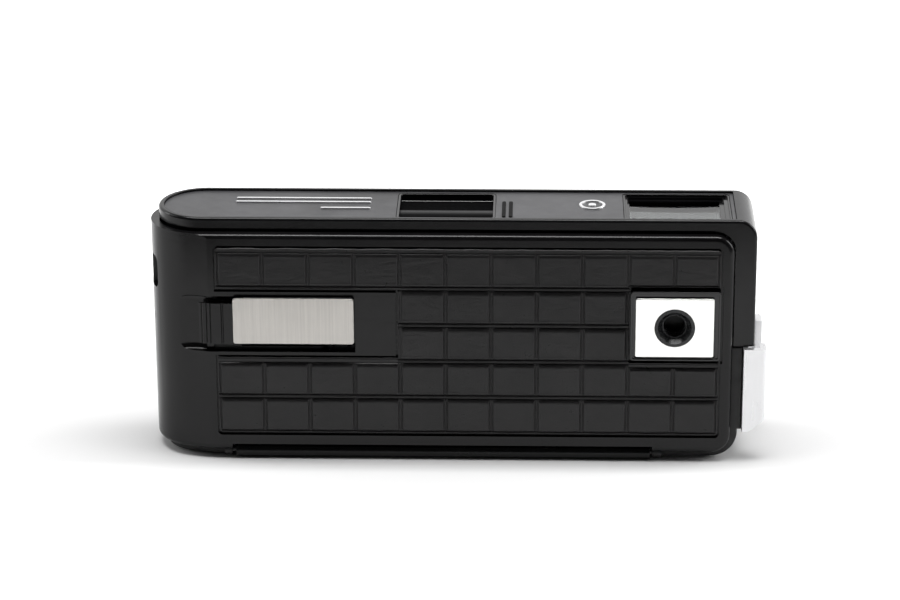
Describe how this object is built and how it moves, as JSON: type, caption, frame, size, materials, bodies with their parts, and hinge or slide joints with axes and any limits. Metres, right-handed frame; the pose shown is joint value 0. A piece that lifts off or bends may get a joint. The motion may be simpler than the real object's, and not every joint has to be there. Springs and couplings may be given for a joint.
{
  "type": "subminiature camera",
  "caption": "Slim pocket camera for narrow film, black with a tiled leatherette panel, a sliding film advance, a tripod socket, a front lens window and finder, and a side shoe.",
  "frame": {"origin": "middle of the rectangle that the whole camera covers on its rear face, at the lowest point of the rear door", "axes": "+Z towards the subject (the lens looks up), +X along the body to the shoe end, -Y out of the underside with the tripod socket, +Y out of the top side with the release button"},
  "size_m": [0.1356, 0.0258, 0.0561],
  "materials": {
    "anodised_barrel": "black anodised",
    "black_bush": "blackened",
    "black_gloss_plastic": "gloss",
    "black_satin_plastic": "satin moulded",
    "blade_steel": "blackened",
    "brass_contact": "turned",
    "bright_plate": "bright satin",
    "brushed_trim": "brushed along Z",
    "clear_window": "polished",
    "dial_black": "satin",
    "dial_white": "satin",
    "door_satin_plastic": "satin moulded",
    "gear_plastic": "moulded",
    "hood_satin_plastic": "satin fine grained",
    "inner_black": "matt",
    "leatherette": "pressed grain",
    "name_plate_satin": "satin grained lacquer",
    "optical_glass": "polished",
    "satin_metal": "satin",
    "shoe_metal": "satin bright",
    "spring_steel": "drawn wire",
    "steel": "turned"
  },
  "bodies": {
    "camera_body": {"accessory_shoe": "shoe_metal", "advance_return_spring": "spring_steel", "aperture_pin": "steel", "contact_insulator": "inner_black", "counter_window": "clear_window", "end_block": "inner_black", "eyepiece_bezel": "black_gloss_plastic", "eyepiece_lens": "optical_glass", "film_chamber": "inner_black", "film_gate": "steel", "finder_bezel": "black_gloss_plastic", "finder_front_lens": "optical_glass", "finder_tube": "inner_black", "front_hood": "hood_satin_plastic", "front_lens_element": "optical_glass", "hinge_pin": "blade_steel", "leatherette_top": "leatherette", "leatherette_underside": "leatherette", "lens_barrel": "anodised_barrel", "lens_bezel": "black_gloss_plastic", "lever_pivot_pin": "steel", "main_frame": "inner_black", "name_plate": "name_plate_satin", "pinion_stud": "steel", "rear_lens_element": "optical_glass", "release_spring": "spring_steel", "shell_screws": "steel", "shoe_contact": "brass_contact", "shoe_screws": "steel", "shutter_base": "inner_black", "shutter_cover": "inner_black", "strap_bar": "steel", "strap_cup": "inner_black", "topside_shell": "black_satin_plastic", "tripod_bush": "black_bush", "tripod_frame": "black_gloss_plastic", "tripod_plate": "bright_plate", "underside_shell": "black_satin_plastic"},
    "advance_slider": {"advance_slide_carrier": "black_satin_plastic", "advance_slide_trim": "brushed_trim"},
    "drive_pinion": {"drive_pinion": "gear_plastic"},
    "take_up_key": {"take_up_key": "gear_plastic"},
    "counter_dial": {"counter_dial": "dial_white"},
    "release_button": {"release_button": "satin_metal"},
    "release_lever": {"release_lever": "steel"},
    "shutter_blade_left": {"shutter_blade_left": "blade_steel"},
    "shutter_blade_right": {"shutter_blade_right": "blade_steel"},
    "aperture_wheel": {"aperture_wheel": "dial_black"},
    "focus_ring": {"focus_ring": "dial_black"},
    "lens_cover": {"lens_cover": "black_gloss_plastic"},
    "rear_door": {"rear_door": "door_satin_plastic", "pressure_springs": "spring_steel"},
    "pressure_plate": {"pressure_plate": "anodised_barrel"},
    "door_latch": {"door_latch": "black_satin_plastic"}
  },
  "joints": [
    {"name": "film_advance", "type": "slide", "parent": "camera_body", "child": "advance_slider", "axis": [1, 0, 0], "range_m": [0, 0.009], "stiffness_N_per_m": 50, "springref_m": -0.002, "deforming": ["advance_return_spring"]},
    {"name": "drive_pinion_turn", "type": "hinge", "parent": "camera_body", "child": "drive_pinion", "pos_m": [-0.0257, -0.00915, 0.0227], "axis": [0, 1, 0], "range_deg": [-2, 117]},
    {"name": "take_up_turn", "type": "hinge", "parent": "camera_body", "child": "take_up_key", "pos_m": [-0.0257, -0.00915, 0.0137], "axis": [0, 1, 0], "range_deg": [-117, 2]},
    {"name": "counter_turn", "type": "hinge", "parent": "camera_body", "child": "counter_dial", "pos_m": [-0.0447, 0, 0.0147], "axis": [0, 1, 0], "range_deg": [-1, 19]},
    {"name": "shutter_release", "type": "slide", "parent": "camera_body", "child": "release_button", "axis": [0, -1, 0], "range_m": [0, 0.0012], "stiffness_N_per_m": 900, "springref_m": -0.0004, "deforming": ["release_spring"]},
    {"name": "release_lever_rock", "type": "hinge", "parent": "camera_body", "child": "release_lever", "pos_m": [0.0173, -0.00035, 0.0287], "axis": [0, 0, 1], "range_deg": [-7, 1]},
    {"name": "left_blade_swing", "type": "hinge", "parent": "camera_body", "child": "shutter_blade_left", "pos_m": [-0.0072, -0.006, 0.02615], "axis": [0, 0, 1], "range_deg": [-1, 46]},
    {"name": "right_blade_swing", "type": "hinge", "parent": "camera_body", "child": "shutter_blade_right", "pos_m": [0.0019, -0.006, 0.02675], "axis": [0, 0, 1], "range_deg": [-46, 1]},
    {"name": "aperture_select", "type": "hinge", "parent": "camera_body", "child": "aperture_wheel", "pos_m": [-0.00265, 0.0046, 0.0307], "axis": [0, 0, 1], "range_deg": [0, 270]},
    {"name": "focus_turn", "type": "hinge", "parent": "camera_body", "child": "focus_ring", "pos_m": [-0.00265, 0, 0.0392], "axis": [0, 0, 1], "range_deg": [-12, 12]},
    {"name": "lens_cover_slide", "type": "slide", "parent": "camera_body", "child": "lens_cover", "axis": [1, 0, 0], "range_m": [0, 0.012]},
    {"name": "rear_door_hinge", "type": "hinge", "parent": "camera_body", "child": "rear_door", "pos_m": [0, -0.01, 0.00155], "axis": [-1, 0, 0], "range_deg": [0, 105]},
    {"name": "pressure_plate_travel", "type": "slide", "parent": "rear_door", "child": "pressure_plate", "axis": [0, 0, -1], "range_m": [0, 0.0012], "stiffness_N_per_m": 300, "springref_m": -0.001, "deforming": ["pressure_springs"]},
    {"name": "door_latch_slide", "type": "slide", "parent": "camera_body", "child": "door_latch", "axis": [1, 0, 0], "range_m": [0, 0.0024]}
  ],
  "couplings": [
    {"joint": "drive_pinion_turn", "follows": "film_advance", "rad_per_m": 222.22},
    {"joint": "take_up_turn", "follows": "film_advance", "rad_per_m": -222.22},
    {"joint": "counter_turn", "follows": "film_advance", "rad_per_m": 34.907},
    {"joint": "release_lever_rock", "follows": "shutter_release", "rad_per_m": -91},
    {"joint": "left_blade_swing", "follows": "shutter_release", "rad_per_m": 654.5},
    {"joint": "right_blade_swing", "follows": "shutter_release", "rad_per_m": -654.5}
  ]
}
